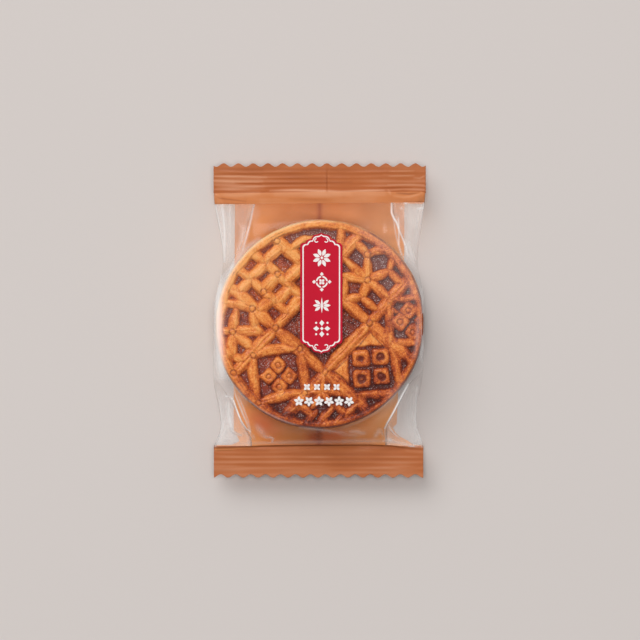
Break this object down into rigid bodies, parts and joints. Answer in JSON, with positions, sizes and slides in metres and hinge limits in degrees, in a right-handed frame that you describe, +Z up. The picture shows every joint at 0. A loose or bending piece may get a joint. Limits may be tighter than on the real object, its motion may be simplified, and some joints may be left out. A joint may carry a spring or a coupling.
{
  "type": "wrapped mooncake",
  "caption": "Round moulded mooncake with a lattice relief on its face, sealed in a small clear flow-wrap pouch with crimped, toothed end seals.",
  "frame": {"origin": "on the surface that the pouch lies on, under the middle of its outline", "axes": "+Z up out of the moulded face, +Y along the pouch towards its upper end seal, +X to the right across it"},
  "size_m": [0.0686, 0.1, 0.0204],
  "materials": {
    "crust": "baked pastry crust with a satin egg glaze, darker and glossier in the hollows",
    "clear_film": "thin clear glossy film",
    "printed_film": "film printed in a flat warm brown-orange",
    "label_print": "flat red and white print on the film"
  },
  "bodies": {
    "root": {"mooncake": "crust", "film_pouch": "clear_film"}
  },
  "joints": []
}
